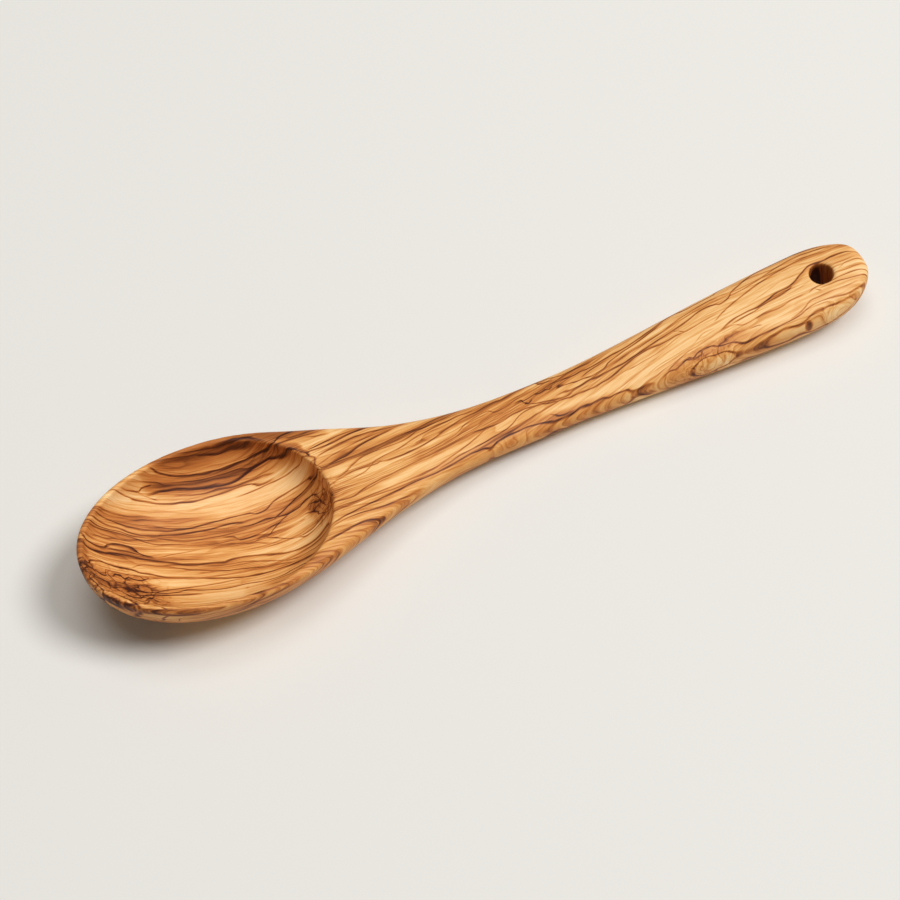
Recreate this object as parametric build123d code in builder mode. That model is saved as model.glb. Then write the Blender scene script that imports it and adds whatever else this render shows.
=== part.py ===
from build123d import *
from math import cos, pi
import os

# A cooking spoon carved from one blank of olive wood. It lies as it does on a table, on the keel of its
# bowl and on the foot of its handle. +X runs from the bowl's tip to the handle's end, +Z is up, and the
# origin is on the table under the middle of the spoon. The left and right halves are alike.
# Lengths are millimetres. A place is a distance along X, counted from the bowl's tip.

# plan outline
spoon_length = 303.5
bowl_width = 64.0
bowl_widest_place = 50.0
neck_width = 20.2
neck_place = 175.0
grip_width = 29.9
end_rounding_length = 25.0
# how full the curves of the outline are: 2 is an ellipse, and more is squarer
bowl_front_power = 2.07
shoulder_power = 3.7
end_power = 2.25

# side profile, upper line: a straight sloping rim, a hollow neck and a rising handle
tip_height = 32.6
rim_back_place = 96.0
rim_back_height = 20.8
shoulder_place = 135.0
shoulder_height = 15.8
neck_height = 12.8
waist_height = 15.8
grip_height = 18.4
end_height = 21.6

# side profile, underside: heights above the table, nil at the keel and at the foot
rim_back_clearance = 3.4
shoulder_clearance = 3.0
neck_clearance = 1.8
grip_clearance = 1.0
end_clearance = 4.0

# places of the handle's waist and grip, as shares of the way from the neck to the end
waist_share = 0.40
grip_share = 0.76

# cross-sections: the widest line lies just under the rim in the bowl and above half-way in the handle
rim_edge_drop = 2.6
handle_edge_share = 0.44
handle_blend_start = 70.0
handle_blend_end = 150.0
# fullness of the quarter curves above and below the widest line, in the bowl and in the handle
bowl_crown_share = 0.86
bowl_belly_share = 0.60
handle_crown_share = 0.76
handle_belly_share = 0.70

# rounding of the tip and of the handle's end, as seen from the side
keel_front_power = 2.2
tip_rounding = 4.0
end_crest_rounding = 5.0
end_foot_rounding = 12.0

# the hollow: contours parallel to the rim, each smaller than the one above
rim_land_tip = 2.3
rim_land_side = 2.0
hollow_back_place = 88.4
hollow_floor_place = 58.0
hollow_depth = 18.0
hollow_front_power = 1.9
hollow_side_power = 2.2
hollow_back_power = 2.7
contour_fullness_share = 0.565
contour_depth_shares = (0.0, 0.2, 0.4, 0.6, 0.77, 0.89, 0.96, 0.99)
rim_easing = 0.6

# the hanging hole
hole_diameter = 8.6
hole_end_distance = 18.5
hole_easing = 0.5

# what a cut runs past the wood
overrun = 5.0

rim_slope = (rim_back_height - tip_height) / rim_back_place
handle_length = spoon_length - neck_place
waist_place = neck_place + waist_share * handle_length
grip_place = neck_place + grip_share * handle_length
grip_widest_place = spoon_length - end_rounding_length
hole_place = spoon_length - hole_end_distance


# where a place lies in the model's own frame
def along(place):
    return place - spoon_length / 2


# an oval law: nil at 0, one at 1, with an upright start and a level finish
def rounding(share, power):
    left = 1 - min(max(share, 0), 1)
    return (1 - left**power) ** (1 / power)


# a gentle step from nil to one
def ease(share):
    inside = min(max(share, 0), 1)
    return (1 - cos(pi * inside)) / 2


# a fair curve through the stations (place, height), level where it turns
def fair(place, stations, first_slope, last_slope):
    gaps = [b[0] - a[0] for a, b in zip(stations, stations[1:])]
    rises = [(b[1] - a[1]) / gap for a, b, gap in zip(stations, stations[1:], gaps)]
    slopes = [first_slope]
    for before, after in zip(rises, rises[1:]):
        slopes.append(2 * before * after / (before + after) if before * after > 0 else 0)
    slopes.append(last_slope)
    i = max(k for k in range(len(gaps)) if k == 0 or place >= stations[k][0])
    t = (place - stations[i][0]) / gaps[i]
    return (
        stations[i][1] * (2 * t**3 - 3 * t**2 + 1)
        + stations[i + 1][1] * (3 * t**2 - 2 * t**3)
        + gaps[i] * (slopes[i] * (t**3 - 2 * t**2 + t) + slopes[i + 1] * (t**3 - t**2))
    )


# half the width of the plan outline
def half_width(place):
    if place <= bowl_widest_place:
        return bowl_width / 2 * rounding(place / bowl_widest_place, bowl_front_power)
    if place <= neck_place:
        fall = (place - bowl_widest_place) / (neck_place - bowl_widest_place)
        return neck_width / 2 + (bowl_width - neck_width) / 2 * abs(cos(pi / 2 * fall)) ** shoulder_power
    if place <= grip_widest_place:
        rise = ease((place - neck_place) / (grip_widest_place - neck_place))
        return neck_width / 2 + (grip_width - neck_width) / 2 * rise
    return grip_width / 2 * rounding((spoon_length - place) / end_rounding_length, end_power)


upper_stations = [
    (rim_back_place, rim_back_height),
    (shoulder_place, shoulder_height),
    (neck_place, neck_height),
    (waist_place, waist_height),
    (grip_place, grip_height),
    (spoon_length, end_height),
]
lower_stations = [
    (bowl_widest_place, 0),
    (rim_back_place, rim_back_clearance),
    (shoulder_place, shoulder_clearance),
    (neck_place, neck_clearance),
    (waist_place, 0),
    (grip_place, grip_clearance),
    (spoon_length, end_clearance),
]
upper_end_slope = (end_height - grip_height) / (spoon_length - grip_place)
lower_end_slope = (end_clearance - grip_clearance) / (spoon_length - grip_place)


# height of the crest, before the ends are rounded
def upper_line(place):
    if place <= rim_back_place:
        return tip_height + rim_slope * place
    return fair(place, upper_stations, rim_slope, upper_end_slope)


# how far a cross-section has gone over from the bowl's form to the handle's
def handle_share(place):
    return ease((place - handle_blend_start) / (handle_blend_end - handle_blend_start))


# crest, widest line and underside of the cross-section at a place
def heights(place):
    crest = upper_line(place)
    keel = fair(max(place, bowl_widest_place), lower_stations, 0, lower_end_slope)
    blend = handle_share(place)
    edge = crest - (1 - blend) * rim_edge_drop - blend * handle_edge_share * (crest - keel)
    keel += (edge - keel) * (1 - rounding(place / bowl_widest_place, keel_front_power))
    at_tip = rounding(place / tip_rounding, 2)
    crest_end = rounding((spoon_length - place) / end_crest_rounding, 2)
    foot_end = rounding((spoon_length - place) / end_foot_rounding, 2)
    return edge + (crest - edge) * at_tip * crest_end, edge, edge - (edge - keel) * foot_end


# the left half of a cross-section: two quarter curves that meet at the widest line
def half_section(place):
    half = half_width(place)
    crest, edge, keel = heights(place)
    blend = handle_share(place)
    crown = bowl_crown_share + blend * (handle_crown_share - bowl_crown_share)
    belly = bowl_belly_share + blend * (handle_belly_share - bowl_belly_share)
    with BuildSketch(Plane.YZ.offset(along(place))) as cut:
        with BuildLine():
            Line((0, keel), (0, crest))
            Bezier((0, crest), (crown * half, crest), (half, edge + crown * (crest - edge)), (half, edge))
            Bezier((half, edge), (half, edge + belly * (keel - edge)), (belly * half, keel), (0, keel))
        make_face()
    return cut.sketch.faces()[0]


# places of the cross-sections: close together at the rounded ends, evenly spread between them
front_steps = 6
middle_steps = 10
end_steps = 8
front_places = [bowl_widest_place * (1 - cos(pi / 2 * n / front_steps)) for n in range(1, front_steps)]
middle_places = [
    bowl_widest_place + (grip_widest_place - bowl_widest_place) * n / middle_steps
    for n in range(middle_steps + 1)
]
end_places = [
    spoon_length - end_rounding_length * (1 - cos(pi / 2 * n / end_steps))
    for n in range(end_steps - 1, 0, -1)
]
section_places = front_places + middle_places + end_places


# the left half of an egg-shaped contour of the hollow, in a plane parallel to the rim
rim_plane = Plane(
    origin=(along(0), 0, tip_height),
    x_dir=(1, 0, rim_slope),
    z_dir=(-rim_slope, 0, 1),
)
floor_shift = hollow_floor_place - bowl_widest_place


def half_contour(depth_share, lift=0):
    level = 1 - depth_share
    front = hollow_floor_place - (hollow_floor_place - rim_land_tip) * rounding(level, hollow_front_power)
    back = hollow_floor_place + (hollow_back_place - hollow_floor_place) * rounding(level, hollow_back_power)
    half = (bowl_width / 2 - rim_land_side) * rounding(level, hollow_side_power)
    c = bowl_widest_place + floor_shift * depth_share
    k = contour_fullness_share
    with BuildSketch(rim_plane.offset(lift - depth_share * hollow_depth)) as cut:
        with BuildLine():
            Line((front, 0), (back, 0))
            Bezier((back, 0), (back, k * half), (c + k * (back - c), half), (c, half))
            Bezier((c, half), (c + k * (front - c), half), (front, k * half), (front, 0))
        make_face()
    return cut.sketch.faces()[0]


tip = Vertex(along(0), 0, heights(0)[1])
end = Vertex(along(spoon_length), 0, heights(spoon_length)[1])
slices = [tip] + [half_section(place) for place in section_places] + [end]
floor = Vertex(*rim_plane.from_local_coords((hollow_floor_place, 0, -hollow_depth)))
contours = [half_contour(0, overrun)] + [half_contour(share) for share in contour_depth_shares] + [floor]

# the two mouths of the hanging hole, square to its axis and facing out
hole_radius = hole_diameter / 2
upper_mouth = Plane(origin=(along(hole_place), 0, heights(hole_place)[0]), z_dir=(0, 0, 1))
lower_mouth = Plane(origin=(along(hole_place), 0, heights(hole_place)[2]), z_dir=(0, 0, -1))

with BuildPart() as spoon:
    # the left half of the blank, shaped all round
    loft(slices)

    # the hollow of the bowl, gouged down to its lowest point, with its upper edge sanded round
    loft(contours, mode=Mode.SUBTRACT)
    fillet(spoon.edges().sort_by(Axis.Y)[-1], rim_easing)

    # the hanging hole, drilled straight through near the handle's end
    with BuildSketch(Plane.XY.offset(-overrun)):
        with Locations((along(hole_place), 0)):
            Circle(hole_radius)
    extrude(amount=end_height + 2 * overrun, mode=Mode.SUBTRACT)

    # both mouths of the hole, eased to a narrow cone
    with Locations(upper_mouth, lower_mouth):
        Cone(hole_radius, hole_radius + 2 * hole_easing, 2 * hole_easing, mode=Mode.SUBTRACT)

    # the right half
    mirror(about=Plane.XZ)

spoon.part.label = "spoon"

os.makedirs("parts", exist_ok=True)
export_step(spoon.part, "parts/spoon.step")
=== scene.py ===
import math

import bpy
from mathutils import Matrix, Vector


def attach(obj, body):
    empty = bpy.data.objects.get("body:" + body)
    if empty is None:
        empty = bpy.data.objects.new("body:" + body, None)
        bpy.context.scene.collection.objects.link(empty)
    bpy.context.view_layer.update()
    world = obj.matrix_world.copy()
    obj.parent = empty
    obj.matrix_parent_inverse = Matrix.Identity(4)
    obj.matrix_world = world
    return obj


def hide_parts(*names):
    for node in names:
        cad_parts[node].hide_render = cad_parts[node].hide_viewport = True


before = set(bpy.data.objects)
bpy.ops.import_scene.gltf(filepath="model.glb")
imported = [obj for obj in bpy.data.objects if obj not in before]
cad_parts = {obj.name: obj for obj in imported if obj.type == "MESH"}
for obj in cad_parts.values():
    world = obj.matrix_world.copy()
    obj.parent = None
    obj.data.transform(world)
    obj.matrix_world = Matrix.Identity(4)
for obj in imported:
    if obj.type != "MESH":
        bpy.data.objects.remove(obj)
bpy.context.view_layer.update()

# The spoon: bowl, neck, handle and hanging hole, all of one piece.
# It is olive wood. The blank was sawn from one board, the hollow was gouged out, the hole was drilled,
# and every edge was eased by sanding before the wood was rubbed with oil.
skin_grid = 0.00064
sanding_passes = 6
sanding_share = 0.5

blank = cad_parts["spoon"]
spoon = bpy.data.objects.new("carved_spoon", blank.data.copy())
bpy.context.collection.objects.link(spoon)
skin = spoon.modifiers.new("even skin", "REMESH")
skin.mode = "VOXEL"
skin.voxel_size = skin_grid
skin.use_smooth_shade = True
sanding = spoon.modifiers.new("sanding", "SMOOTH")
sanding.factor = sanding_share
sanding.iterations = sanding_passes
bpy.context.view_layer.update()
sanded = spoon.evaluated_get(bpy.context.evaluated_depsgraph_get())
spoon_mesh = bpy.data.meshes.new_from_object(sanded)
spoon.modifiers.clear()
spoon.data = spoon_mesh

# Oiled olive wood, sanded fine. The eye sees cream sapwood, orange-brown heartwood and thin dark growth
# lines that run together and part again, under a low satin sheen. The grain swirls in burls at the bowl's
# tip, at its back wall and on the grip. Some shade on the bowl's back wall and some light on the grip
# are painted into the colour.
olive_wood = bpy.data.materials.new("oiled_olive_wood")
olive_wood.use_nodes = True
olive_tree = olive_wood.node_tree


# an sRGB hex colour as linear light
def linear(hexcode):
    channels = [int(hexcode[i:i + 2], 16) / 255 for i in (0, 2, 4)]
    return [c / 12.92 if c <= 0.04045 else ((c + 0.055) / 1.055) ** 2.4 for c in channels] + [1.0]


# one node with its settings, and a value or a link for each socket that is named
def add(kind, settings, inputs):
    made = olive_tree.nodes.new("ShaderNode" + kind)
    for name, value in settings.items():
        setattr(made, name, value)
    for socket, value in inputs.items():
        if isinstance(value, bpy.types.NodeSocket):
            olive_tree.links.new(value, made.inputs[socket])
        else:
            made.inputs[socket].default_value = value
    return made.outputs


# Everything in the wood is placed in millimetres: x along the spoon, y across it, z above the table.
millimetres = 1000.0
place = add("TexCoord", {}, {})["Object"]
spot = add("VectorMath", {"operation": "SCALE"}, {0: place, "Scale": millimetres})[0]
x, y, z = add("SeparateXYZ", {}, {0: spot})

# The growth layer of a place is its way across the board, in millimetres. The layers bend slowly along the
# spoon, as the trunk did: a cubic of x in hundreds of millimetres. They also lean and open a little with z.
bend_start, bend_middle, bend_end = -16.8, -4.3, 6.9
opening = 0.01
opening_height = 20.0
lean = -0.15
hundredth = 0.01
hundreds = add("Math", {"operation": "MULTIPLY"}, {0: x, 1: hundredth})[0]
bend = add("Math", {"operation": "MULTIPLY_ADD"}, {0: hundreds, 1: bend_end, 2: bend_middle})[0]
bend = add("Math", {"operation": "MULTIPLY_ADD"}, {0: bend, 1: hundreds, 2: bend_start})[0]
bend = add("Math", {"operation": "MULTIPLY"}, {0: bend, 1: hundreds})[0]
opened = add("Math", {"operation": "MULTIPLY_ADD"}, {0: z, 1: opening, 2: 1 - opening * opening_height})[0]
layer = add("Math", {"operation": "MULTIPLY_ADD"}, {0: y, 1: opened, 2: bend})[0]
layer = add("Math", {"operation": "MULTIPLY_ADD"}, {0: z, 1: lean, 2: layer})[0]
grain = add("CombineXYZ", {}, {0: x, 1: layer, 2: z})[0]


# a mottle of lumps of one size in millimetres: along the grain, across it and in depth
def mottle(lump, detail, roughness, start=0.0):
    lumps = add("VectorMath", {"operation": "DIVIDE"}, {0: grain, 1: lump})[0]
    lumps = add("VectorMath", {"operation": "ADD"}, {0: lumps, 1: (start, start, start)})[0]
    return add("TexNoise", {}, {"Vector": lumps, "Scale": 1.0, "Detail": detail, "Roughness": roughness})[0]


# Real fibres are 0.02 mm wide. They are drawn 0.28 mm wide, as coarse as they need to be to show.
fibre = mottle((7.0, 0.28, 4.0), detail=3.0, roughness=0.6)
fibre_sway = 0.2

# The layers wander in lumps of some millimetres: a line sways half a millimetre or less to each side, and one
# that is drawn also slips up to a millimetre and a half along the spoon.
wander = mottle((9.0, 2.5, 12.0), detail=1.0, roughness=0.5)
wander_sway = 1.1
wander_slip = 3.0

# Growth lines that the eye picks out, each one drawn by hand and then thinned by a script to the points that
# its shape needs: its mean darkness, how far it reaches above and below its darkest place, and its course, as
# pairs of a place along the spoon and a growth layer.
dark_lines = (
    # far wall of the bowl and the heartwood band
    (0.7, 0.3, 0.5, (-117, 29.8), (-114, 28.4), (-108, 27.5), (-81, 27.3), (-74, 25.8), (-72, 27.2),
     (-67, 28), (-64, 29)),
    (0.7, 0.4, 0.9, (-94, 33.2), (-84, 32), (-75, 27.5)),
    (0.5, 0.4, 0.4, (-100, 31.8), (-94, 31.2), (-88, 31.1), (-79, 29.2)),
    (0.7, 0.7, 0.4, (-121, 21.8), (-113, 23.4), (-93, 22.6), (-80, 24.5), (-75, 23.2), (-71, 21.4),
     (-67, 19)),
    (0.7, 0.3, 0.3, (-128, 22.9), (-125, 22.7), (-122.5, 23), (-121, 24.2), (-118, 25)),
    (0.5, 0.3, 0.3, (-124, 22.9), (-119, 20.8), (-117, 20.4)),
    (0.5, 0.3, 0.5, (-113, 22), (-102, 21.5), (-96, 22), (-88, 21.5), (-83, 21.6), (-76, 20.5)),
    (0.7, 0.5, 0.3, (-132, 22.6), (-124, 20), (-109, 19.4), (-90, 20.8), (-81, 19.3), (-77, 19.2)),
    (0.7, 0.3, 0.3, (-93, 18), (-82, 18.7), (-71, 17.7), (-64.8, 15.2)),
    # upper half of the bowl
    (0.6, 0.4, 0.3, (-141, 13.4), (-131, 11.1), (-119, 10.3), (-100, 12.2), (-90.5, 12.3), (-88.5, 11.3),
     (-85, 11.6), (-81, 13.2), (-78, 13.7), (-72, 13.3), (-68, 12.3), (-65, 10.6)),
    (0.4, 0.3, 0.3, (-144, 15.6), (-128, 14.7), (-120, 14.9)),
    (0.3, 0.3, 0.3, (-140, 14.2), (-128, 13.7), (-122, 13.9)),
    (0.6, 0.5, 0.3, (-146, 12), (-138, 10.3), (-133, 10), (-130, 8.9), (-127, 8.5), (-107, 9.5),
     (-97, 10.5), (-93, 10)),
    (0.6, 0.3, 0.3, (-148, 10.2), (-138, 8.8), (-134, 9), (-130, 8), (-126, 7.9)),
    (0.5, 0.3, 0.5, (-146, 7.7), (-135, 8.3), (-124, 5.3), (-114, 5.4)),
    (0.4, 0.3, 0.3, (-126, 8.6), (-122, 7.4), (-117, 6.7), (-110, 6.6), (-90, 7.6)),
    (0.4, 0.3, 0.3, (-144, 5), (-140, 5.2), (-136, 6), (-126, 4.7)),
    (0.5, 0.4, 0.5, (-103, 6.4), (-99, 5.7), (-97, 4.3), (-79, 7.2)),
    (0.4, 0.3, 0.3, (-122, 4.3), (-108, 4), (-95, 2.5), (-86, 0), (-83, -0.4)),
    # arches near the tip
    (0.8, 0.3, 1.0, (-147.5, 4.5), (-144, 1.4), (-142, 1.3), (-140.5, 2.6), (-138, 3.8), (-136, 4),
     (-133.5, 3.6), (-131.5, 2.6), (-129.5, 1.1), (-126, 0.4)),
    (0.5, 0.3, 0.6, (-143, 0.3), (-140, 1.4), (-136.5, 1.9), (-133, 1.6), (-129, 0.2)),
    (0.7, 0.5, 0.8, (-150, -1), (-142, -0.8), (-139, 0), (-117, -2.5), (-106, -2.7), (-102, -1.9),
     (-88, -4.1), (-84, -5.7), (-81, -6.4), (-75, -6.6), (-70, -6), (-67.5, -9)),
    (0.4, 0.3, 0.3, (-129, 0.6), (-125.5, 0.5), (-122, 1.3), (-103, 3.6), (-98, 3.4)),
    (0.5, 0.3, 0.3, (-130, 0.3), (-120, 0), (-104, -2.4)),
    (0.5, 0.4, 0.4, (-114, -3.3), (-110, -3.8), (-104, -3.9), (-90, -6.8), (-87, -8.4), (-83, -9.6),
     (-78, -10.1), (-71, -12.6)),
    (0.5, 0.4, 0.3, (-136, -5.2), (-131, -3.2), (-127, -3.2), (-112, -5.8), (-105, -6.4), (-90, -9),
     (-84, -10.8)),
    # burl at the tip
    (0.7, 0.5, 0.6, (-150.5, -15), (-149, -9.3), (-147.4, -6.4), (-145.5, -5.4), (-143.5, -5),
     (-141.8, -5.6), (-135.6, -6), (-134, -6.6), (-131, -6.7), (-128, -7.6), (-115, -8.6), (-102, -10.4),
     (-82, -12), (-77, -13)),
    (0.8, 0.5, 0.4, (-143, -11.5), (-140.4, -9), (-138.6, -10.5), (-137.4, -9.4), (-135.4, -10.3),
     (-131, -7.8)),
    (0.8, 0.4, 0.4, (-148, -10), (-145.2, -11.5), (-144.4, -9.4), (-143.6, -8)),
    (0.5, 0.3, 0.3, (-135, -10.4), (-132, -9.2), (-127, -8.5), (-115, -9.3)),
    (0.8, 0.4, 0.6, (-149, -12.5), (-146, -14), (-140.3, -20.2), (-138.6, -20.6), (-136.8, -19.6),
     (-135.2, -17.8), (-128, -16.9), (-117, -16.4)),
    (0.8, 0.3, 0.3, (-144.5, -17.6), (-143, -16.4), (-139.5, -14.4)),
    (0.7, 0.4, 0.4, (-137.5, -14), (-135, -16), (-130, -16), (-126, -15.4), (-121, -14), (-110, -14.7),
     (-104, -14.4), (-91, -15.4), (-86, -14.3), (-80, -18)),
    (0.6, 0.4, 0.3, (-133.5, -17.6), (-131, -15.4), (-126, -13.7), (-99, -10.6)),
    (0.6, 0.8, 0.8, (-137.4, -23), (-135.8, -21), (-134, -19.6), (-132.6, -21.5), (-131.6, -24)),
    (0.5, 0.8, 0.8, (-147, -19.5), (-141, -24.5), (-139, -25.4)),
    (0.8, 1.0, 1.0, (-142.5, -26.6), (-140.8, -29), (-137, -33.4)),
    (0.7, 0.8, 0.8, (-136, -27.6), (-132.4, -32), (-131, -34)),
    (0.6, 0.4, 0.4, (-130.4, -29), (-128.6, -31), (-127, -33)),
    # knot, comma and other small dark spots
    (0.8, 1.9, 1.9, (-141.8, -15.6), (-139, -15.7), (-136.4, -15.6)),
    (0.7, 0.5, 0.5, (-76.6, 3.2), (-75.9, 3.2), (-74.2, 2.9)),
    (0.7, 0.5, 0.5, (-104, -16.2), (-103, -16.3), (-102, -16.4)),
    (0.8, 0.8, 0.6, (26, -3.4), (27.2, -3.7), (30, -4)),
    # tangle on the back wall of the bowl
    (0.6, 0.3, 0.3, (-91, 2.9), (-89, 2.9), (-86.5, 4.3), (-78, 7.6), (-75.5, 8)),
    (0.7, 0.3, 0.3, (-90, 2.7), (-84, 0.9), (-78.6, -2), (-76, -2.7), (-69, -2.4), (-67, -2.8)),
    (0.7, 0.3, 0.3, (-80, -0.4), (-77.5, -1.6), (-74, -1.6), (-68.5, -0.8), (-67, -1.6)),
    (0.7, 0.3, 0.3, (-97, 8.4), (-92, 8.3), (-86, 8.8), (-79, 7.7), (-74, 7.7), (-71.5, 8.4),
     (-69.5, 8.2), (-67, 7), (-64.5, 3.5)),
    (0.7, 0.3, 0.3, (-84, 7.7), (-81.5, 8.7), (-69.5, 11), (-67.3, 11), (-65.4, 10.2), (-64.3, 8.8),
     (-63.6, 8.4)),
    (0.6, 0.5, 0.6, (-73.4, 5), (-70.6, 3), (-68, 0.2), (-66.6, -2), (-65.6, -4)),
    (0.6, 0.4, 0.4, (-71, 6.5), (-69, 5.4), (-67.4, 3.6), (-66, 1.4), (-65, -1), (-64.4, -3)),
    (0.7, 0.4, 0.8, (-67.5, 19.4), (-66.4, 17.6), (-65.4, 16.6), (-64.6, 14), (-64, 11), (-63.5, 8)),
    # neck
    (0.8, 0.3, 0.4, (-67, 17.4), (-61, 18.5), (-41, 19.4)),
    (0.7, 0.5, 0.5, (-66, 16.9), (-64, 17.2), (-58, 17.1), (-48, 18.1), (-38, 18.6)),
    (0.4, 0.4, 0.4, (-70, 26), (-66, 25.1), (-61, 25.4), (-57, 25)),
    (0.5, 0.4, 0.4, (-64, 23.4), (-60.5, 22.4), (-53, 21.3)),
    (0.5, 0.5, 0.4, (-65, 13.2), (-59, 14.9), (-49, 15.9), (-43, 15.7), (-30, 13.7), (-27, 14.6),
     (-24, 15)),
    (0.4, 0.3, 0.3, (-65, 10.6), (-57, 12.6), (-51, 13.5), (-43, 14), (-36, 13.9), (-27, 12.4)),
    (0.7, 0.9, 0.3, (-64.5, 8), (-57, 9.9), (-53.5, 10.3), (-46, 12.2), (-31, 13.4)),
    (0.5, 0.3, 0.3, (-64, 8.2), (-61, 8), (-53, 8.4), (-33, 6.9), (-30, 7.2), (-26, 8.2), (-17, 7.9),
     (-8, 8.5)),
    (0.5, 0.8, 0.3, (-62, 2.6), (-59, 3.3), (-51.5, 6.5), (-47.5, 7.6), (-43, 7.9)),
    (0.6, 0.3, 0.5, (-65.5, 1.5), (-52.5, 3.4), (-45, 2.9), (-43.6, 3.2), (-42, 2.6), (-33, 1.8),
     (-28, 2), (-10, 4.3), (8, 4.5)),
    (0.5, 0.4, 0.3, (-65, 0.5), (-51, 1.5), (-48, 2.6), (-45.5, 4), (-35, 4.8), (-27, 6.1), (-12, 6.3),
     (-6, 5.6), (3, 6)),
    (0.5, 0.3, 0.3, (-38, 0.2), (-34, -0.3), (-15.5, 0), (-9, 2), (-4, 2.3), (0, 2), (1.4, 0.6),
     (7, 0.3)),
    (0.4, 0.3, 0.3, (-17, 0.2), (-2, -0.1), (12, -2.8)),
    (0.6, 0.5, 0.3, (-67, -5), (-59.5, -5.7), (-52, -4), (-31, -2.6), (-12, -2.3), (3, -3.9), (7, -3.6),
     (12, -4.2), (17, -5.4), (27, -9), (40, -11.4), (46, -11.9), (57, -11.2), (61, -11.3), (72, -12.8),
     (94, -13.6)),
    (0.4, 0.3, 0.4, (-67, -7.3), (-48, -4.2), (-41, -3.7)),
    (0.5, 0.3, 0.4, (-68, -8.6), (-62, -8), (-44, -7.2), (-30, -7.1), (-11, -4.8), (-1, -2.6)),
    (0.7, 0.3, 0.45, (-71, -13.4), (-64, -11.5), (-59, -10.8), (-20, -8.2), (-9, -8.7), (-5.5, -9.4),
     (-2, -8.8), (3, -8.8), (7, -9.3), (22, -13.2), (33, -14.8), (44, -17.1), (52, -19.8), (60, -21.4)),
    (0.5, 0.3, 0.3, (-71, -14.2), (-66, -13), (-60, -12.5), (-52, -12.6), (-32, -10.4)),
    (0.8, 0.6, 0.4, (-77, -19.2), (-63, -16.2), (-58, -15.5), (-54, -15.8), (-50, -15)),
    (0.6, 0.3, 0.3, (-28, -7.9), (-12, -7.1), (-4, -7.3), (2, -7), (6, -6.3), (9, -5.3), (13, -5),
     (19, -6.2)),
    (0.7, 0.3, 0.4, (18, -9.8), (23, -12.7), (31, -14.2)),
    # handle: mottled zone
    (0.8, 0.5, 0.5, (9.6, -0.4), (12.6, -0.9), (15, -3), (17, -2)),
    (0.7, 0.5, 0.5, (17.8, -1), (21, -2.1), (23, -2), (24, -2.9), (25.6, -1.4)),
    (0.6, 0.4, 0.4, (14.5, -2.6), (17, -4.4), (20, -5.8), (28, -8.3), (31, -8.6)),
    (0.7, 0.5, 0.5, (6, 6.6), (17, 4.5), (20.4, 3.2), (22.4, 1.3), (27, -0.5)),
    (0.7, 0.4, 0.4, (19.5, 3.7), (22, 2.4), (25.5, 1.6), (31, -0.7), (36, -1.7), (50, -2.9)),
    (0.7, 0.4, 0.4, (24, -0.9), (34, -3.3), (61, -5.5), (66, -5.4), (77.5, -3.9), (84, -5), (94, -5.2),
     (98, -4.3), (102, -4)),
    (0.7, 0.4, 0.3, (26, -3.6), (34, -6), (45, -8), (47.5, -7), (66, -6.1), (74, -4.7)),
    (0.6, 0.3, 0.3, (36, -5.6), (39, -5.5), (51, -5.8)),
    (0.7, 0.4, 0.4, (24, -6.2), (34, -8), (39, -8.3), (43, -9.3), (58, -10.6), (80, -9.9), (89, -8.8),
     (93, -9.4), (95.5, -10.3), (103, -7.3), (121, -3.8), (136, -4.3), (142, -5)),
    (0.5, 0.3, 0.3, (46, -8.8), (68, -8.6), (75, -7.8), (89, -7), (96, -7.4)),
    (0.4, 0.3, 0.3, (43, -12), (56, -13.7), (66, -14.3), (76, -13.6)),
    (0.4, 0.3, 0.3, (42, -15.8), (48, -16.6), (77, -14.6)),
    (0.6, 0.3, 0.3, (74, -10.2), (75.4, -11), (77, -12.6), (78.5, -13.1)),
    (0.3, 0.3, 0.3, (57, -18.8), (62, -18.5), (77, -18.9), (84, -17.3), (88, -17.8)),
    # burl on the near side of the grip
    (0.4, 0.3, 0.3, (61, -23), (67, -21), (75, -20.1), (92, -20), (100, -22), (105, -21.8), (113, -22.4),
     (118, -21.6), (124, -21.5)),
    (0.6, 0.3, 0.3, (62, -21.8), (65, -21.6), (68, -22.3), (72, -22), (75, -22.8), (78, -22), (86, -23.6),
     (95, -26.9), (100, -27.4), (115, -27.8), (125, -26.5), (137, -26.9), (142, -26), (146, -24.4),
     (149, -22.6)),
    (0.5, 0.4, 0.4, (73, -21.4), (75, -22.8), (77.5, -23.2), (81, -21.6)),
    (0.6, 0.3, 0.3, (63, -23.4), (73, -24.6), (78, -24.3), (83, -25.2), (93, -28), (98, -28.6),
     (111, -29), (117, -29.6), (124, -28.6), (130, -28.6), (142, -27)),
    # end of the handle
    (0.5, 0.4, 0.4, (98, -9.2), (103, -9.5), (108, -9.1), (123, -6.3), (129, -5.7), (136, -5.8),
     (143, -7)),
    (0.6, 0.4, 0.4, (88, -16), (97, -13), (127, -8), (134, -7.6), (142, -8.4)),
    (0.8, 0.4, 0.5, (88, -20), (97, -18.4), (105, -18.4), (110, -17.8), (115, -16.7), (118, -16.8),
     (121, -16.2), (127, -13.5), (133, -11.6), (137, -12), (140, -11.5), (143, -11.5), (151, -14)),
    (0.6, 0.4, 0.3, (94, -19.4), (103, -19.6), (107, -18.8), (119, -17.7), (122, -16.3)),
    (0.3, 0.3, 0.3, (98, -16.8), (113, -14.2), (124, -11.8)),
    (0.8, 0.3, 0.3, (98, -24), (102.5, -24.6), (104, -25.2)),
    (0.5, 0.4, 0.3, (114, -27.6), (119, -26.8), (126, -24.7), (138, -24.7), (144, -24)),
    (0.6, 0.3, 0.3, (125, -22), (127.5, -21.1), (142, -20.6), (151, -21)),
    (0.8, 0.4, 0.4, (127.4, -20.8), (128.8, -22.6), (129.8, -23.1)),
    (0.6, 0.3, 0.3, (129, -22), (138, -22.1), (145, -22.8), (151, -22)),
    (0.4, 0.3, 0.3, (136, -15.8), (142, -14.8), (150, -15.6)),
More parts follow.
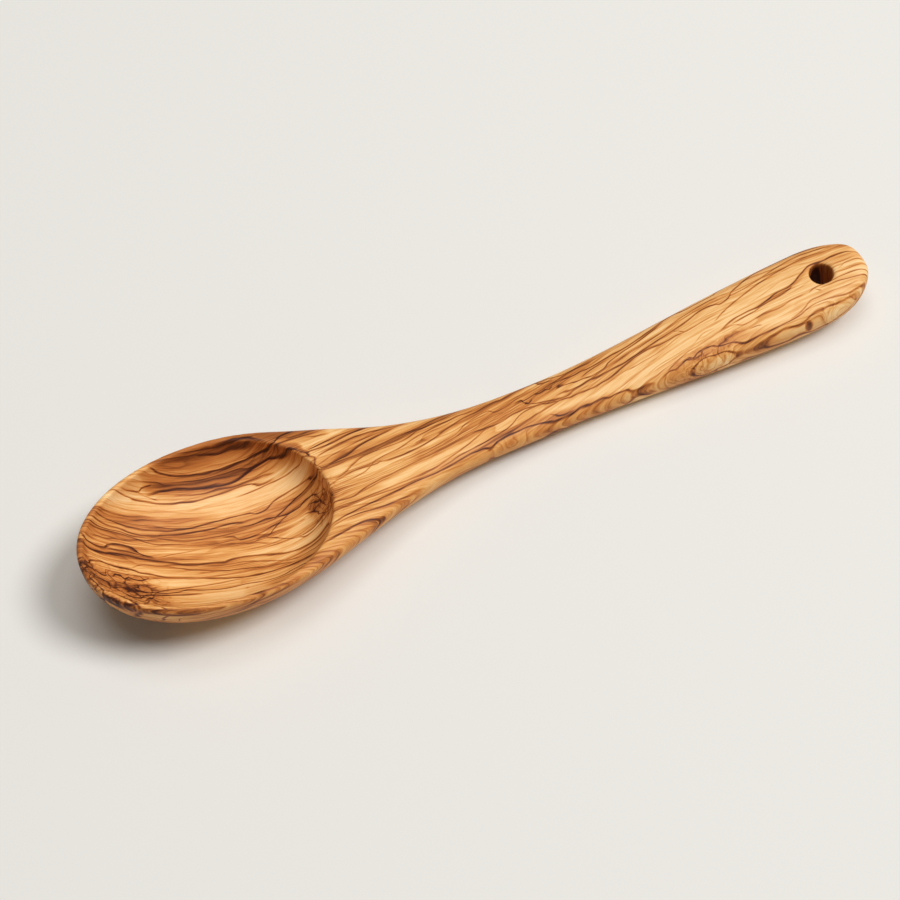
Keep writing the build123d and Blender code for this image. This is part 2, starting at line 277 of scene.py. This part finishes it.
    (0.6, 0.3, 0.3, (139, -17.6), (145, -15.9), (148, -16.3), (150, -17.8)),
    (0.4, 0.3, 0.3, (136, -18.4), (141, -18.8), (146, -18.6), (151, -19)),
    (0.8, 0.5, 0.5, (117, -31.6), (120.5, -29.8), (124, -31.4)),
    # near wall of the bowl, outside, under the rim
    (0.7, 1.2, 1.0, (-151.5, -10), (-149.5, -19), (-147.5, -25), (-144, -29), (-140, -31)),
    (0.6, 0.5, 0.8, (-142, -29), (-137, -31.8), (-131, -33), (-122, -33.6)),
    (0.5, 0.4, 1.2, (-128, -34), (-118, -35), (-104, -34), (-92, -31.5)),
    (0.5, 0.4, 0.5, (-110, -31), (-98, -30), (-86, -27.5)),
)

# Brown heartwood, drawn in the same way but broad and soft. On the bowl's back wall, by the neck, the
# zones are partly painted shade of that wall.
heartwood_and_shade_zones = (
    # the far wall's heartwood band; where it runs down the back wall it is partly painted shade
    (1.0, 2.2, 2.6, (-121, 26), (-113, 25), (-78, 24.8), (-69, 21.4), (-66, 18), (-64.6, 14), (-63.6, 9)),
    (1.0, 4.0, 3.4, (-118, 31), (-104, 32), (-88, 32.4), (-80, 31.4), (-70, 27.6), (-54, 24)),
    (0.6, 2.4, 2.4, (-150, 14), (-138, 13.6), (-120, 13), (-98, 13)),
    (0.6, 2.8, 3.2, (-152, 8.4), (-146, 8), (-124, 7.8), (-80, 9), (-65, 8)),
    (0.5, 2.0, 2.2, (-152, -1), (-136, -0.6), (-114, -3)),
    (0.6, 1.8, 1.4, (-142, 1), (-133, 1.6), (-130, 0.8)),
    (0.5, 1.8, 1.8, (-121, -5), (-100, -6.6), (-82, -11.6), (-75, -12.4), (-69, -12)),
    (0.6, 7.0, 9.0, (-154, -14), (-150, -14), (-140, -14), (-127, -18)),
    (0.8, 10.0, 12.0, (-156, -8), (-153, -8), (-149.4, -8), (-146.6, -8)),
    (0.4, 2.6, 4.0, (-147, -31), (-141, -33), (-116, -35), (-96, -31)),
    (0.4, 3.0, 4.0, (-145, -22), (-130, -28), (-112, -29), (-80, -23.4), (-52, -17)),
    (0.4, 2.0, 3.0, (-106, -19.4), (-99, -17.8), (-82, -17), (-58, -14)),
    # on the bowl's back wall: partly heartwood, partly painted shade of that wall
    (0.6, 2.4, 2.6, (-73, 4), (-70, 4), (-63.8, 1.6)),
    (0.5, 1.5, 1.5, (-70, -1), (-65.5, -2), (-64.6, -2)),
    (0.6, 2.0, 2.0, (-71, 12), (-65, 11), (-63.8, 10.8)),
    (0.7, 1.0, 1.2, (-66, 17.6), (-40, 19), (-34, 18.6)),
    (0.5, 1.2, 1.2, (-65, 14.8), (-49, 15.3), (-27, 14)),
    (0.6, 1.4, 0.6, (-65.5, 10), (-54, 11), (-45, 12.4)),
    (0.5, 1.2, 1.6, (-62, -10.4), (-40, -8.8), (-18, -8.2), (6, -8.8), (34, -15), (54, -20.4)),
    (0.4, 2.5, 3.0, (-70, -20), (-46, -14), (-20, -11.4), (-6, -11.4), (8, -12.6), (60, -24)),
    (0.4, 2.6, 2.6, (-12, 2), (6, 1.4), (43, -6), (50, -8.4), (57, -9)),
    (0.6, 1.2, 1.0, (4, 6.8), (17, 4.6), (26, 1)),
    (0.4, 1.0, 1.0, (43, -9.4), (58, -10.6), (100, -8.6)),
    (0.4, 1.6, 2.4, (60, -24), (66, -22.4), (74, -22), (82, -22.6), (98, -26.6), (120, -30), (130, -30)),
    (0.5, 0.9, 0.9, (102, -19), (121, -16.8), (131, -12.6), (135, -12), (149, -13.4)),
    (0.4, 1.8, 2.0, (110, -5), (119, -4.6), (140, -6), (146, -8), (151, -11)),
    (0.4, 1.6, 1.6, (124, -21.6), (140, -21.6), (149, -21)),
)

# Clear sapwood, drawn in the same way: few lines cross it.
pale_zones = (
    (0.7, 2.4, 2.6, (-138, 18.6), (-76, 16.2), (-70, 15.2), (-66, 13.6)),
    (0.7, 1.6, 1.5, (-131, 3), (-118, 3), (-105, 2)),
    (0.8, 1.4, 1.4, (-114, 0.6), (-90, -1.8), (-82, -4.2), (-70, -4.2), (-66.5, -5)),
    (0.9, 1.8, 1.6, (-135, -12), (-130, -11.2), (-104, -10.6)),
    (0.8, 4.0, 4.4, (-133, -22), (-100, -18.6), (-94, -18.6)),
    (0.8, 2.0, 2.2, (-85, 2.4), (-75, 3.2), (-70.4, 2)),
    (0.8, 2.2, 2.2, (-66, -2), (-36, -1.4), (-30, -1.6)),
    (0.6, 2.0, 1.8, (-64, 5.4), (-58, 5.8), (-52, 5)),
    (0.7, 1.4, 1.2, (-54, 10), (-28, 11), (0, 8.4)),
    (0.9, 1.3, 1.3, (-52, -6), (-43, -5.6), (-6, -3.3)),
    (0.7, 1.0, 1.2, (-66, 20.6), (-55, 21), (-49, 20.6)),
    (0.8, 1.4, 1.4, (14, -7.2), (27, -11.6), (52, -14.8), (60, -12.6), (66, -12.8)),
    (0.9, 1.6, 1.6, (46, -18.4), (78, -16.6), (90, -17), (130, -10.4)),
    (0.9, 0.9, 0.9, (60, -7.4), (67, -7.3), (80, -5.8)),
    (0.7, 1.6, 1.2, (38, -0.4), (58, -2.8), (90, -3), (96, -4)),
    (0.7, 1.6, 1.6, (96, -23), (112, -24.8), (119, -23.6), (136, -23.6), (146, -22)),
    (0.5, 1.2, 1.2, (99, -6.2), (106, -7.9), (120, -5.2)),
)

# the map that the courses are drawn on: how far it reaches to each side of the middle, along and across
map_along = 160.0
map_across = 40.0
swayed = add("Math", {"operation": "MULTIPLY_ADD"}, {0: wander, 1: wander_sway, 2: layer})[0]
swayed = add("Math", {"operation": "MULTIPLY_ADD"}, {0: fibre, 1: fibre_sway, 2: swayed})[0]
above_map = map_across - (wander_sway + fibre_sway) / 2
swayed = add("Math", {"operation": "ADD"}, {0: swayed, 1: above_map})[0]
slipped = add("Math", {"operation": "MULTIPLY_ADD"}, {0: wander, 1: wander_slip, 2: x})[0]
from_map_end = map_along - wander_slip / 2
slipped = add("Math", {"operation": "ADD"}, {0: slipped, 1: from_map_end})[0]
map_share = add("Math", {"operation": "MULTIPLY"}, {0: slipped, 1: 0.5 / map_along})[0]


# how dark the darkest of the drawn lines is at a place, each one dying away at its ends and at its edges
def drawn(lines, softness):
    darkest = None
    for darkness, above, below, *course in lines:
        levels = [(along, 0.5 + 0.5 * level / map_across) for along, level in course]
        ends = course[0][0], course[1][0], course[-2][0], course[-1][0]
        fades = list(zip(ends, (0.0, darkness, darkness, 0.0)))
        curves = []
        for points in (levels, fades):
            curve = add("FloatCurve", {}, {"Value": map_share})[0]
            curve.node.mapping.extend = "HORIZONTAL"
            track = curve.node.mapping.curves[0]
            while len(track.points) < len(points):
                track.points.new(0.5, 0.5)
            for point, (along, value) in zip(track.points, points):
                point.location = (0.5 + 0.5 * along / map_along, value)
                point.handle_type = "AUTO_CLAMPED"
            curve.node.mapping.update()
            curves.append(curve)
        off = add("Math", {"operation": "MULTIPLY_ADD"}, {0: curves[0], 1: -2 * map_across, 2: swayed})[0]
        over = add("Math", {"operation": "MULTIPLY"}, {0: off, 1: 1 / (softness * above)})[0]
        under = add("Math", {"operation": "MULTIPLY"}, {0: off, 1: -1 / (softness * below)})[0]
        away = add("Math", {"operation": "MAXIMUM"}, {0: over, 1: under})[0]
        mark = add("MapRange", {"interpolation_type": "SMOOTHSTEP", "clamp": False},
                   {"Value": away, "From Min": 0.0, "From Max": 1.0, "To Min": 1.0, "To Max": 0.0})[0]
        mark = add("Math", {"operation": "MULTIPLY"}, {0: mark, 1: curves[1]})[0]
        if darkest is None:
            darkest = mark
        else:
            darkest = add("Math", {"operation": "MAXIMUM"}, {0: darkest, 1: mark})[0]
    return darkest


drawn_lines = drawn(dark_lines, softness=1.3)
# the brown zones, with the painted shade on the bowl's back wall
heartwood_and_wall_shade = drawn(heartwood_and_shade_zones, softness=2.0)
sapwood = drawn(pale_zones, softness=2.0)

# Burls, where the grain swirls: where each one lies in x and growth layer, its half length and half width,
# how far it throws the layers about, and how strongly a net of dark veins shows in it. A burl is at its full
# strength in its core and dies away at its edge: both are shares of its half length and half width.
burls = (
    (-142.0, -18.0, 15.0, 12.0, 18.0, 1.0),
    (-67.0, 2.0, 5.0, 7.0, 12.0, 0.8),
    (78.0, -24.5, 15.0, 4.5, 8.0, 0.25),
)
burl_core = 0.2
burl_edge = 1.4
swing = None
veined = None
for along, level, half_length, half_width, throw, net in burls:
    off_along = add("Math", {"operation": "SUBTRACT"}, {0: x, 1: along})[0]
    off_along = add("Math", {"operation": "DIVIDE"}, {0: off_along, 1: half_length})[0]
    off_across = add("Math", {"operation": "SUBTRACT"}, {0: layer, 1: level})[0]
    off_across = add("Math", {"operation": "DIVIDE"}, {0: off_across, 1: half_width})[0]
    off = add("CombineXYZ", {}, {0: off_along, 1: off_across, 2: 0.0})[0]
    off = add("VectorMath", {"operation": "LENGTH"}, {0: off})["Value"]
    near = add("MapRange", {"interpolation_type": "SMOOTHSTEP", "clamp": False},
               {"Value": off, "From Min": burl_core, "From Max": burl_edge, "To Min": 1.0, "To Max": 0.0})[0]
    thrown = add("Math", {"operation": "MULTIPLY"}, {0: near, 1: throw})[0]
    netted = add("Math", {"operation": "MULTIPLY"}, {0: near, 1: net})[0]
    if swing is None:
        swing, veined = thrown, netted
    else:
        swing = add("Math", {"operation": "MAXIMUM"}, {0: swing, 1: thrown})[0]
        veined = add("Math", {"operation": "MAXIMUM"}, {0: veined, 1: netted})[0]
swirl = mottle((7.0, 5.0, 7.0), detail=2.0, roughness=0.5)
thrown = add("Math", {"operation": "SUBTRACT"}, {0: swirl, 1: 0.5})[0]
thrown = add("Math", {"operation": "MULTIPLY_ADD"}, {0: thrown, 1: swing, 2: layer})[0]
free_layer = add("Math", {"operation": "MULTIPLY_ADD"}, {0: wander, 1: wander_sway, 2: thrown})[0]

# Eyes, where a twig grew out of the trunk and the layers close into rings round its stub: the stub's middle
# in x, y and z, its reach each way, and how far it lifts the layers. The lift ends at the eye's edge, a share
# of its reach.
eyes = (
    ((133.5, -14.4, 13.2), (8.0, 6.0, 5.5), 5.0),
    ((82.0, -12.5, 12.5), (8.0, 5.0, 5.0), 4.0),
    ((2.4, -9.6, 11.0), (7.0, 3.5, 4.0), 3.5),
)
eye_edge = 1.3
for middle, reach, lift in eyes:
    off = add("VectorMath", {"operation": "SUBTRACT"}, {0: spot, 1: middle})[0]
    off = add("VectorMath", {"operation": "DIVIDE"}, {0: off, 1: reach})[0]
    off = add("VectorMath", {"operation": "LENGTH"}, {0: off})["Value"]
    ring = add("MapRange", {"interpolation_type": "SMOOTHSTEP", "clamp": False},
               {"Value": off, "From Min": 0.0, "From Max": eye_edge, "To Min": lift, "To Max": 0.0})[0]
    free_layer = add("Math", {"operation": "ADD"}, {0: free_layer, 1: ring})[0]

# The net of veins in a burl: kinked cells about 4 mm long and 3 mm wide with dark edges. A vein is a sixth of
# a cell wide at each side of an edge, and it is only a quarter as dark where the swirl is low.
cell = (4.4, 2.7, 4.4)
kink = 1.6
kink_lump = (6.0, 6.0, 6.0)
vein_width = 0.16
faint_vein = 0.25
cells = add("VectorMath", {"operation": "DIVIDE"}, {0: grain, 1: cell})[0]
kinks = add("VectorMath", {"operation": "DIVIDE"}, {0: grain, 1: kink_lump})[0]
kinks = add("TexNoise", {}, {"Vector": kinks, "Scale": 1.0, "Detail": 2.0})["Color"]
kinks = add("VectorMath", {"operation": "SCALE"}, {0: kinks, "Scale": kink})[0]
cells = add("VectorMath", {"operation": "ADD"}, {0: cells, 1: kinks})[0]
veins = add("TexVoronoi", {"feature": "DISTANCE_TO_EDGE"}, {"Vector": cells, "Scale": 1.0})["Distance"]
veins = add("MapRange", {"interpolation_type": "SMOOTHSTEP", "clamp": False},
            {"Value": veins, "From Min": 0.0, "From Max": vein_width, "To Min": 1.0, "To Max": 0.0})[0]
veins = add("Math", {"operation": "MULTIPLY"}, {0: veins, 1: veined})[0]
broken = add("MapRange", {"interpolation_type": "SMOOTHSTEP", "clamp": False},
             {"Value": swirl, "From Min": 0.35, "From Max": 0.6, "To Min": faint_vein, "To Max": 1.0})[0]
veins = add("Math", {"operation": "MULTIPLY"}, {0: veins, 1: broken})[0]


# A family of growth lines that nobody drew. Each line is crisp on one side and feathered on the other, has a
# darkness of its own and fades in and out along the spoon. Their spacing and reach are in millimetres, and so
# is how far the waves carry them. The start is a place in the noise, so that no two families are alike.
def growth_lines(spacing, slant, reach, wave, feather, start):
    crisp = 0.16
    faintest = 0.3
    fades_per_reach = 1.6
    line_step = 7.31
    waves = mottle((reach, 0.16 * reach, 0.6 * reach), 1.5, 0.5, start)
    rings = add("Math", {"operation": "MULTIPLY_ADD"}, {0: x, 1: slant, 2: free_layer})[0]
    rings = add("Math", {"operation": "MULTIPLY_ADD"}, {0: waves, 1: wave, 2: rings})[0]
    rings = add("Math", {"operation": "MULTIPLY_ADD"}, {0: fibre, 1: fibre_sway, 2: rings})[0]
    rings = add("Math", {"operation": "DIVIDE"}, {0: rings, 1: spacing})[0]
    number = add("Math", {"operation": "FLOOR"}, {0: rings})[0]
    within = add("Math", {"operation": "FRACT"}, {0: rings})[0]
    line = add("Math", {"operation": "POWER"}, {0: within, 1: feather})[0]
    edge = add("MapRange", {"interpolation_type": "SMOOTHSTEP", "clamp": False},
               {"Value": within, "From Min": 1 - crisp / spacing, "From Max": 1.0,
                "To Min": 1.0, "To Max": 0.0})[0]
    line = add("Math", {"operation": "MULTIPLY"}, {0: line, 1: edge})[0]
    own = add("TexWhiteNoise", {"noise_dimensions": "1D"}, {"W": number})[0]
    own = add("MapRange", {}, {"Value": own, "To Min": faintest, "To Max": 1.0})[0]
    line = add("Math", {"operation": "MULTIPLY"}, {0: line, 1: own})[0]
    stretch = add("CombineXYZ", {}, {0: x, 1: number, 2: z})[0]
    steps = (fades_per_reach / reach, line_step, fades_per_reach / reach)
    stretch = add("VectorMath", {"operation": "MULTIPLY_ADD"},
                  {0: stretch, 1: steps, 2: (start, start, 0.0)})[0]
    fade = add("TexNoise", {}, {"Vector": stretch, "Scale": 1.0, "Detail": 1.0})[0]
    fade = add("MapRange", {"interpolation_type": "SMOOTHSTEP", "clamp": False},
               {"Value": fade, "From Min": 0.36, "From Max": 0.66, "To Min": 0.0, "To Max": 1.0})[0]
    return add("Math", {"operation": "MULTIPLY"}, {0: line, 1: fade})[0]


broad_lines = growth_lines(spacing=2.9, slant=0.0, reach=60.0, wave=14.0, feather=5.0, start=3.1)
middle_lines = growth_lines(spacing=1.9, slant=0.035, reach=45.0, wave=9.0, feather=4.0, start=17.4)
slight_lines = growth_lines(spacing=1.3, slant=-0.03, reach=38.0, wave=8.0, feather=3.0, start=41.9)
fine_lines = growth_lines(spacing=0.8, slant=0.01, reach=30.0, wave=5.0, feather=2.0, start=71.3)

# How brown the wood is, from cream at 0 to nearly black at 1. The ground is cream to tan, and a little paler
# from the waist to the grip: that is painted light, as if more light fell on the handle. The drawn and the
# free lines are added to it, but few of the free ones cross clear sapwood.
cream, tan = 0.03, 0.25
waist, grip = -20.0, 60.0
painted_light_on_grip = -0.09
left_in_sapwood = 0.08
ground = mottle((55.0, 4.5, 30.0), detail=3.0, roughness=0.55)
ground = add("MapRange", {},
             {"Value": ground, "From Min": 0.3, "From Max": 0.7, "To Min": cream, "To Max": tan})[0]
# painted light: the ground grows paler from the waist to the grip
grip_painted_light = add("MapRange", {},
            {"Value": x, "From Min": waist, "From Max": grip, "To Min": 0.0, "To Max": painted_light_on_grip})[0]
brown = add("Math", {"operation": "ADD"}, {0: ground, 1: grip_painted_light})[0]
for lines, share in ((broad_lines, 0.44), (middle_lines, 0.4), (slight_lines, 0.38), (fine_lines, 0.36)):
    brown = add("Math", {"operation": "MULTIPLY_ADD"}, {0: lines, 1: share, 2: brown})[0]
clear = add("MapRange", {}, {"Value": sapwood, "To Min": 1.0, "To Max": left_in_sapwood})[0]
brown = add("Math", {"operation": "MULTIPLY"}, {0: brown, 1: clear})[0]

# Paler fibres run through the drawn lines and fray them.
frayed = add("MapRange", {},
             {"Value": fibre, "From Min": 0.3, "From Max": 0.6, "To Min": 0.7, "To Max": 1.0})[0]
frayed = add("Math", {"operation": "MULTIPLY"}, {0: drawn_lines, 1: frayed})[0]
for mark, share in ((heartwood_and_wall_shade, 0.38), (veined, 0.06), (veins, 0.55), (frayed, 0.8)):
    brown = add("Math", {"operation": "MULTIPLY_ADD"}, {0: mark, 1: share, 2: brown})[0]

# The wall of the hanging hole is made darker.
# The dark is at its full strength up to 0.05 mm outside the drill's radius and ends 0.45 mm outside it.
hole_middle = (133.25, 0.0, 0.0)
level_only = (1.0, 1.0, 0.0)
hole_radius = 4.3
hole_dark_full = hole_radius + 0.05
hole_dark_end = hole_radius + 0.45
hole_wall_darkness = 0.3
from_hole = add("VectorMath", {"operation": "SUBTRACT"}, {0: spot, 1: hole_middle})[0]
from_hole = add("VectorMath", {"operation": "MULTIPLY"}, {0: from_hole, 1: level_only})[0]
from_hole = add("VectorMath", {"operation": "LENGTH"}, {0: from_hole})["Value"]
hole_wall_dark = add("MapRange", {"interpolation_type": "SMOOTHSTEP", "clamp": False},
             {"Value": from_hole, "From Min": hole_dark_full, "From Max": hole_dark_end,
              "To Min": hole_wall_darkness, "To Max": 0.0})[0]
brown = add("Math", {"operation": "ADD"}, {0: brown, 1: hole_wall_dark})[0]

# Each fibre is a little darker or lighter than the next.
fibre_shade = 0.07
streak = add("MapRange", {},
             {"Value": fibre, "From Min": 0.25, "From Max": 0.75,
              "To Min": -fibre_shade, "To Max": fibre_shade})[0]
brown = add("Math", {"operation": "ADD", "use_clamp": True}, {0: brown, 1: streak})[0]

# The colours by how brown the wood is: cream sapwood, tan, orange-brown heartwood, nearly black lines.
wood_colours = (
    (0.0, "ffdfaa"),
    (0.13, "f9c888"),
    (0.28, "e6a65f"),
    (0.46, "c87c3e"),
    (0.64, "99582b"),
    (0.82, "66371f"),
    (1.0, "432015"),
)
colour = add("ValToRGB", {}, {0: brown})[0]
stops = colour.node.color_ramp.elements
while len(stops) < len(wood_colours):
    stops.new(0.5)
for stop, (share, shade) in zip(stops, wood_colours):
    stop.position = share
    stop.color = linear(shade)

# Oiled wood has little gloss. Fibres that stand a hundredth of a millimetre proud break up its sheen: the
# bump is 0.04 mm high, at a quarter of its strength.
fibre_height = 0.00004
fibre_strength = 0.25
smoothest, roughest = 0.40, 0.52
gloss = 0.14
sheen = add("MapRange", {},
            {"Value": fibre, "From Min": 0.2, "From Max": 0.8,
             "To Min": smoothest, "To Max": roughest})[0]
raised = add("Bump", {}, {"Strength": fibre_strength, "Distance": fibre_height, "Height": fibre})[0]
surface = olive_tree.nodes["Principled BSDF"]
surface.inputs["Specular IOR Level"].default_value = gloss
olive_tree.links.new(colour, surface.inputs["Base Color"])
olive_tree.links.new(sheen, surface.inputs["Roughness"])
olive_tree.links.new(raised, surface.inputs["Normal"])
spoon_mesh.materials.clear()
spoon_mesh.materials.append(olive_wood)
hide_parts("spoon")
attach(spoon, "root")

# The table: a sheet of smooth off-white card that reaches three metres to each side. It was rolled flat at
# the mill, and the spoon lies loose on it.
table_reach = 3.0
card_corners = [
    (-table_reach, -table_reach, 0),
    (table_reach, -table_reach, 0),
    (table_reach, table_reach, 0),
    (-table_reach, table_reach, 0),
]
card_mesh = bpy.data.meshes.new("table_card")
card_mesh.from_pydata(card_corners, [], [(0, 1, 2, 3)])
card = bpy.data.objects.new("table_card", card_mesh)
bpy.context.collection.objects.link(card)

# Uncoated card: to the eye it is an even, faintly warm white that takes soft shadows and has no shine.
card_white = "e9e8e4"
card_roughness = 0.9
matt_card = bpy.data.materials.new("matt_card")
matt_card.use_nodes = True
matt_surface = matt_card.node_tree.nodes["Principled BSDF"]
matt_surface.inputs["Base Color"].default_value = linear(card_white)
matt_surface.inputs["Roughness"].default_value = card_roughness
card_mesh.materials.append(matt_card)

# The camera looks down at the spoon from its near side, turned so that the handle runs up to the right. Its
# place follows from how many of the picture's pixels a metre of the spoon covers at the target.
picture_pixels = 900
pixels_per_metre = 2865
camera_turn = math.radians(26.55)
camera_drop = math.radians(59.0)
camera_field = math.radians(24.0)
camera_target = Vector((-0.0179, -0.0017, 0.010))
frame_width = picture_pixels / pixels_per_metre
camera_distance = frame_width / 2 / math.tan(camera_field / 2)
level_ahead = math.cos(camera_drop)
ahead = Vector((
    level_ahead * math.sin(camera_turn),
    level_ahead * math.cos(camera_turn),
    -math.sin(camera_drop),
))
camera = bpy.data.objects.new("camera", bpy.data.cameras.new("camera"))
camera.location = camera_target - camera_distance * ahead
camera.rotation_euler = (math.pi / 2 - camera_drop, 0, -camera_turn)
camera.data.angle = camera_field
bpy.context.collection.objects.link(camera)
bpy.context.scene.camera = camera

# The light: a big soft lamp off to the right, a wider one nearly overhead, and a faint warm glow from the
# room. The three shares of light on the table add up to about one, so colours come out about as written.
room_warmth = (1.0, 0.92, 0.76, 1.0)
room_share = 0.15
room = bpy.data.worlds.new("room")
room.use_nodes = True
room.node_tree.nodes["Background"].inputs["Color"].default_value = room_warmth
room.node_tree.nodes["Background"].inputs["Strength"].default_value = room_share
bpy.context.scene.world = room


# a round lamp that leans from upright towards a compass angle, counted from the picture's right to its far
# side, and that gives the table its share of the light
def soft_lamp(name, lean_angle, towards, distance, half_angle, share):
    leaning = math.radians(lean_angle)
    compass = math.radians(towards) - camera_turn
    radius = distance * math.tan(math.radians(half_angle))
    off = Vector((
        math.sin(leaning) * math.cos(compass),
        math.sin(leaning) * math.sin(compass),
        math.cos(leaning),
    ))
    lamp = bpy.data.lights.new(name, "AREA")
    lamp.shape = "DISK"
    lamp.size = 2 * radius
    sine = math.sin(math.radians(half_angle))
    lamp.energy = share * (math.pi * radius / sine) ** 2 / math.cos(leaning)
    holder = bpy.data.objects.new(name, lamp)
    holder.location = distance * off
    holder.rotation_euler = off.to_track_quat("Z", "Y").to_euler()
    bpy.context.collection.objects.link(holder)


soft_lamp("window_lamp", lean_angle=31.0, towards=2.0, distance=4.0, half_angle=11.0, share=0.53)
soft_lamp("overhead_lamp", lean_angle=7.0, towards=105.0, distance=2.2, half_angle=18.0, share=0.33)
bpy.context.scene.view_settings.view_transform = "Standard"
